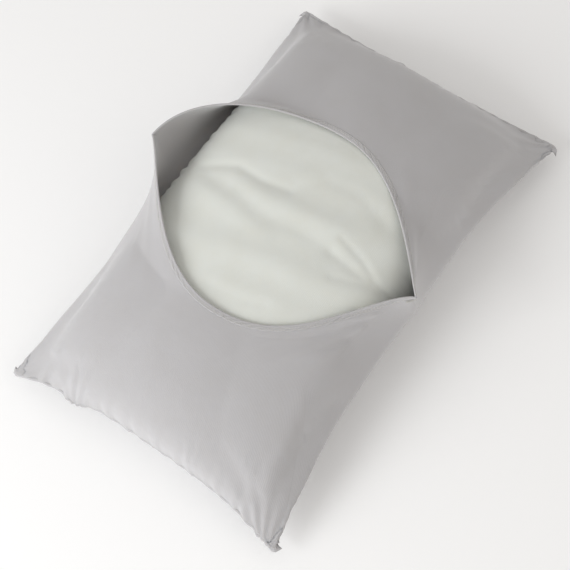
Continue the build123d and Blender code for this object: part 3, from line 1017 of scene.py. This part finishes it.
# Fans of folds: where each starts, the half of the cover it is on, its height, how far off
# it rises and fades, and its ridges' headings and shares.
front_side, rear_side = settled[:, 0] < 0, settled[:, 0] > 0
near_right, far_right = (-0.302, -0.172), (0.298, -0.186)
near_left, far_left = (-0.298, 0.186), (0.298, 0.186)
right_fan, left_fan = ((125, 0.8), (146, 1.0), (167, 0.8)), ((-125, 0.8), (-146, 1.0), (-167, 0.8))
tip_fan = ((141, 0.7), (148, 1.0), (155.5, 1.0), (163.5, 0.8), (173, 0.5))
fans = (
    (right_tip, front_side, 0.0026, 0.035, 0.12, tip_fan),
    (right_tip, rear_side, 0.0024, 0.024, 0.09, ((37, 1.0), (26, 0.8), (15, 0.6))),
    (left_tip, front_side, 0.0020, 0.026, 0.08, ((-147, 0.9), (-154, 0.9), (-163, 0.6))),
    (left_tip, rear_side, 0.0014, 0.02, 0.06, ((-42, 0.7), (-28, 0.7))),
    ((-0.298, 0.093), front_side, 0.0026, 0.008, 0.034, ((45, 0.8), (22, 1.0), (0, 0.9), (-22, 0.7))),
    (near_right, front_side, 0.0034, 0.014, 0.045, ((58, 0.8), (42, 1.0), (26, 1.0), (8, 0.8))),
    (near_left, front_side, 0.0022, 0.014, 0.040, ((-14, 0.7), (-36, 0.9), (-58, 0.7))),
    ((-0.284, -0.062), front_side, 0.0020, 0.007, 0.024, ((24, 0.9), (-2, 0.8))),
    ((-0.284, -0.012), front_side, 0.0016, 0.007, 0.024, ((18, 0.8), (-10, 0.7))),
    (far_left, rear_side, 0.0030, 0.014, 0.045, left_fan),
    (far_right, rear_side, 0.0030, 0.014, 0.045, right_fan),
    ((0.292, 0.034), rear_side, 0.0022, 0.008, 0.028, ((-165, 0.9), (165, 0.8))),
    ((0.292, -0.075), rear_side, 0.0018, 0.008, 0.026, ((-172, 0.8), (162, 0.7))),
)
for source, here, height, onset, decay, headings in fans:
    lift += (here & on_top) * folds_from(settled, source, headings, height, onset, decay)
for name in ("front", "rear"):
    lift[ids[name][-1]] = 0
folded = settled + normals * lift[:, None]
folded[:, 2] = np.maximum(folded[:, 2], 0.0006)
folded = clear_of(folded, casing_tree, cover_gap)
# The clearing leaves the long sides rough. They are evened out, and moved a little outwards
# where the casing's edge lies behind them.
from_middle, off_centre = np.abs(folded[:, 0]), np.abs(folded[:, 1])
flank = (off_centre > flank_side) & (from_middle < flank_end) & (folded[:, 2] < flank_top)
roughest = np.where(flank, flank_roughest, roughest_elsewhere)
for turn in range(level_rounds):
    level = averages(folded, pairs, shares)
    rough = (np.linalg.norm(folded - level, axis=1) > roughest) & ~pinned
    folded[rough] = level[rough]
beside_edge = np.exp(-(((folded[:, 2] - push_height) / push_breadth) ** 2))
beside_edge *= np.abs(folded[:, 1]) > push_side
beside_edge *= np.clip((flank_end - np.abs(folded[:, 0])) / push_fade, 0, 1)
folded[:, 1] += np.sign(folded[:, 1]) * push_out * beside_edge
set_points(cover, folded)


def jersey_pattern(tree):
    """Fine ribs that run along the tube, and the slight cloudiness of a knitted yarn."""
    place = flat_cut(tree)
    uneven = {"Distortion": 0.6, "Detail": 1.0, "Detail Scale": 2.0}
    ribs = bands(tree, place, "Y", band_scale(rib_pitch), uneven)
    fuzz = {0: 0.35, 2: ribs, 3: noise(tree, place, 900, 3.0)}
    height = add_node(tree, "ShaderNodeMix", fuzz).outputs[0]
    cloud = {0: 0.25, 2: noise(tree, place, 14, 4.0), 3: height}
    return add_node(tree, "ShaderNodeMix", cloud).outputs[0], height, 0.00012


jersey = cloth_material(
    "cotton_jersey_knit", knit_colour, knit_shade, 0.88, 0.25, 0.75, jersey_pattern
)
knit_wall = cover.modifiers.new("knit_wall", "SOLIDIFY")
knit_wall.thickness = knit_thickness
knit_wall.offset = -1
apply_modifiers(cover)
cover.data.materials.append(jersey)
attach(cover, "cover")
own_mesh(cover)
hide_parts("cover_bottom_panel", "cover_front_panel", "cover_rear_panel")


# ---- Mouth hems -----------------------------------------------------------------------
# Each edge of the mouth is folded inwards, about 7 mm deep, and sewn down with a
# twin-needle stitch, so it is twice as thick and keeps a crisp edge when it is pulled.

hem_depth = 0.0065
hem_rise = 0.0004
hem_edge = 0.0006
hem_rows = 2  # points for each row of the cover
hem_columns = 36  # columns of the cover that are searched for the depth of a hem
hem_cut_width = 0.022  # how much cloth goes round the folded band
# The band's cross-section, as shares of its depth and of its rise, from its sewn side on.
hem_section = (
    (1.00, 0.0), (0.96, 0.75), (0.8, 1.0), (0.62, 0.8), (0.46, 0.95), (0.3, 1.1), (0.12, 1.05),
)
hem_ripple, hem_ripple_lengths = 0.00018, (0.006, 0.016)
twin_needle_lines = (0.0034, 0.0052)
knit_thread_colour = "D0CEC8"


def refined(values, times):
    places = np.linspace(0, len(values) - 1, (len(values) - 1) * times + 1)
    whole = np.arange(len(values))
    flatter = values.reshape(len(values), -1)
    made = np.stack([np.interp(places, whole, flatter[:, i]) for i in range(flatter.shape[1])], -1)
    return made.reshape(-1, *values.shape[1:])


folded_normals = knit_normals(folded)


def down_the_cloth(ids, depth):
    """Points and normals on the knit at a given distance in from the edge of the mouth."""
    columns = folded[ids[::-1][:hem_columns]]
    facing = folded_normals[ids[::-1][:hem_columns]]
    edge = refined(columns[0], 4)
    gaps = np.linalg.norm(columns[:, :, None] - edge, axis=-1).min(-1)
    gaps = np.maximum.accumulate(gaps, axis=0) + 1e-6 * np.arange(hem_columns)[:, None]
    place = np.zeros((ids.shape[1], 3))
    normal = np.zeros((ids.shape[1], 3))
    for j in range(ids.shape[1]):
        for k in range(3):
            place[j, k] = np.interp(depth, gaps[:, j], columns[:, j, k])
            normal[j, k] = np.interp(depth, gaps[:, j], facing[:, j, k])
    return refined(place, hem_rows), unit(refined(normal, hem_rows))


def hem_band(name, ids):
    """A folded band that wraps the edge of the mouth, and its two stitch lines."""
    rng = np.random.default_rng(len(name))
    edge, facing = down_the_cloth(ids, 0)
    inner, _ = down_the_cloth(ids, 0.003)
    beyond = unit(edge - inner)
    along = travel_along(edge)
    ripple = hem_ripple * wander(along, *hem_ripple_lengths, rng)
    rings = []
    for depth, share in hem_section:
        place, normal = down_the_cloth(ids, depth * hem_depth)
        height = share * hem_rise + ripple * (depth > 0.2)
        rings.append(place + normal * height[:, None])
    inward = knit_thickness + hem_rise
    for out, turn in ((0.5, 0.5), (0.75, 0.0), (0.5, -0.5)):
        middle = edge - facing * (knit_thickness / 2)
        rings.append(middle + beyond * out * hem_edge + facing * turn * (inward + hem_rise) * 0.8)
    for depth, share in reversed(hem_section):
        place, normal = down_the_cloth(ids, depth * hem_depth)
        rings.append(place - normal * (knit_thickness + share * hem_rise + 0.0001))
    ring = np.stack(rings, 1)
    around = np.linspace(0, hem_cut_width, ring.shape[1] + 1)
    band = tube(name, ring, around, along, False)
    lines = []
    for depth in twin_needle_lines:
        place, normal = down_the_cloth(ids, depth)
        lines.append((place + normal * (hem_rise * 0.9 + 0.0001))[3:-3])
    return band, lines


def face_outwards(piece):
    """Turns a closed piece's faces outwards."""
    build = bmesh.new()
    build.from_mesh(piece.data)
    bmesh.ops.recalc_face_normals(build, faces=build.faces)
    build.to_mesh(piece.data)
    build.free()


knit_thread = twisted_thread("spun_polyester_thread", knit_thread_colour, 0.6, 0.2)
knit_sewing = stitch_tree("knit_sewing", knit_thread)
hem_pieces = []
for side_name in ("front", "rear"):
    band, lines = hem_band(f"{side_name}_hem_band", ids[side_name])
    face_outwards(band)
    band.data.materials.append(jersey)
    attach(band, "cover")
    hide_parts(f"{side_name}_mouth_hem")
    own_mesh(band)
    sewn = stitched(
        f"{side_name}_hem_stitches",
        lines,
        knit_sewing,
        {"Pitch": 0.0032, "Stitch Length": 0.0025, "Thread Radius": 0.00028, "Slant": 0.0},
    )
    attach(sewn, "cover")
    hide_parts(f"{side_name}_hem_thread")
    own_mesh(sewn)
    hem_pieces += [band, sewn]


# ---- Bar tacks -------------------------------------------------------------------------
# A short dense row of zigzag stitches holds the two hems together where they meet at each
# end of the mouth, and takes the pull there.

tack_count = 15
tack_drop, tack_half_height, tack_stagger = 0.0055, 0.0018, 0.0002
tack_slope = 0.3  # how fast the knit falls away from the tip

knit_tree = BVHTree.FromPolygons(folded.tolist(), cover_faces.tolist())
for side_name, tip in (("left", left_tip), ("right", right_tip)):
    outward = math.copysign(1, tip[1])
    low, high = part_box(f"{side_name}_mouth_tack")
    lines = []
    for i in range(tack_count):
        x = low.x + (high.x - low.x) * (i + 0.5) / tack_count
        line = []
        for half in (-tack_half_height, tack_half_height):
            drop = tack_drop + half + tack_stagger * (i % 2) + tack_slope * abs(x)
            source = Vector((x, tip[1] + outward * 0.05, tip[2] - drop))
            place, normal, _, _ = knit_tree.ray_cast(source, Vector((0, -outward, 0)), 0.1)
            if place is not None:
                line.append(np.array(place + normal * 0.0006))
        if len(line) == 2:
            lines.append(np.array([line[0], line[0] * 0.5 + line[1] * 0.5, line[1]]))
    tack = stitched(
        f"{side_name}_bar_tack",
        lines,
        knit_sewing,
        {"Pitch": 0.0011, "Stitch Length": 0.0026, "Thread Radius": 0.00042, "Slant": 0.12},
    )
    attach(tack, "cover")
    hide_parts(f"{side_name}_mouth_tack")
    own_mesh(tack)
    hem_pieces.append(tack)


# ---- End seams --------------------------------------------------------------------------
# Each short end is overlocked inside out and turned, which leaves a thin rounded edge that
# ripples where the knit is gathered along it.

end_ridge_width = 0.0046
end_ridge_thickness = 0.0030
end_ridge_taper = 0.012
end_ridge_seat = 0.38  # share of its width by which it sits in from the knit's edge

for side_name, end in (("front", -1), ("rear", 1)):
    columns = under_ids if end < 0 else under_ids[::-1]
    seam = folded[ids[side_name][0]]
    inside = (folded[ids[side_name][3]] + folded[columns[3]]) / 2
    seam, inside = refined(seam, 3), refined(inside, 3)
    out = unit(seam - inside)
    tangent = unit(np.gradient(seam, axis=0))
    out = unit(out - tangent * (out * tangent).sum(1, keepdims=True))
    facing = np.cross(out, tangent)
    facing *= np.sign(facing[len(facing) // 2, 2])
    travel = travel_along(seam)
    from_corner = np.minimum(travel, travel[-1] - travel) / end_ridge_taper
    size = np.sqrt(1 - (1 - np.clip(from_corner, 0.02, 1)) ** 2)
    ridge = swept(
        f"{side_name}_end_ridge",
        seam - out * end_ridge_width * end_ridge_seat * size[:, None],
        out,
        facing,
        ellipse(end_ridge_width, end_ridge_thickness, 12) * size[:, None, None],
        travel,
        False,
    )
    face_outwards(ridge)
    ridge.data.materials.append(jersey)
    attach(ridge, "cover")
    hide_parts(f"{side_name}_end_seam")
    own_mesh(ridge)
    hem_pieces.append(ridge)


# ---- Cover label ------------------------------------------------------------------------
# A blank satin label hangs inside the mouth, sewn under the front hem on the right side.

label_top_drop = 0.0045  # how far its top lies below the hem
label_sway = 0.002

low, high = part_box("cover_care_label")
middle = (low + high) / 2
label_across = (low.x - high.x, high.y - low.y, 0)
inward = unit(np.array((high.y - low.y, high.x - low.x, 0)))
drops = np.linspace(high.z - label_top_drop, low.z, 9)
sway = label_sway * np.sin(np.linspace(0, math.pi, 9))
label_line = [
    (middle.x + s * inward[0], middle.y + s * inward[1], z) for s, z in zip(sway, drops)
]
label_width = math.hypot(high.x - low.x, high.y - low.y) - 0.001
cover_label = tape("cover_label", label_line, label_across, label_width, 0.0005, satin)
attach(cover_label, "cover")
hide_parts("cover_care_label")
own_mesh(cover_label)


# ---- Floor, light and camera ------------------------------------------------------

floor_reach = 6
world_strength = 0.60
# Each lamp is a square one, at the same distance from the pillow.
softbox_distance = 2.6
key_direction, key_size, key_power = (-0.85, 0.35, 0.5), 1.5, 40
key_tint = (0.97, 0.985, 1.0)
fill_direction, fill_size, fill_power = (0.05, -0.7, 0.7), 2.2, 5
fill_tint = (1.0, 0.94, 0.84)

reaches = ((-1, -1), (1, -1), (1, 1), (-1, 1))
floor_points = [(x * floor_reach, y * floor_reach, 0) for x, y in reaches]
floor = mesh_object("floor", floor_points, [(0, 1, 2, 3)])
paper, _, _ = finish("matt_white_paper", {"Base Color": linear("FFFFFF"), "Roughness": 0.95})
floor.data.materials.append(paper)

world = bpy.data.worlds.new("studio")
world.use_nodes = True
world.node_tree.nodes["Background"].inputs["Color"].default_value = linear("FFFDFB")
world.node_tree.nodes["Background"].inputs["Strength"].default_value = world_strength
bpy.context.scene.world = world


def place_at(name, data, turn, place):
    """An object of the scene, turned and put in its place."""
    made = bpy.data.objects.new(name, data)
    made.matrix_world = Matrix.Translation(place) @ turn.to_4x4()
    bpy.context.scene.collection.objects.link(made)
    return made


def softbox(name, direction, size, power, tint):
    """A square lamp that faces the pillow from a direction."""
    lamp = bpy.data.lights.new(name, "AREA")
    lamp.size = size
    lamp.energy = power
    lamp.color = tint
    towards = Vector(direction).normalized()
    place_at(name, lamp, towards.to_track_quat("Z", "Y").to_matrix(), towards * softbox_distance)


softbox("key", key_direction, key_size, key_power, key_tint)
softbox("fill", fill_direction, fill_size, fill_power, fill_tint)
bpy.context.scene.view_settings.view_transform = "Standard"

camera_turn, camera_rise, camera_roll = -46.106, 65.797, -9.662  # degrees
camera_distance = 1.60098
camera_aside, camera_below = -0.008372, -0.021222
camera_focal = 85.67
a, e, r = (math.radians(v) for v in (camera_turn, camera_rise, camera_roll))
back = Vector((math.sin(a) * math.cos(e), -math.cos(a) * math.cos(e), math.sin(e)))
right = Vector((math.cos(a), math.sin(a), 0))
up = back.cross(right)
across = right * math.cos(r) + up * math.sin(r)
upright = up * math.cos(r) - right * math.sin(r)
lens = bpy.data.cameras.new("camera")
lens.lens = camera_focal
lens.sensor_width = 36
lens.clip_end = 20
place = across * camera_aside + upright * camera_below + back * camera_distance
turn = Matrix((across, upright, back)).transposed()
bpy.context.scene.camera = place_at("camera", lens, turn, place)
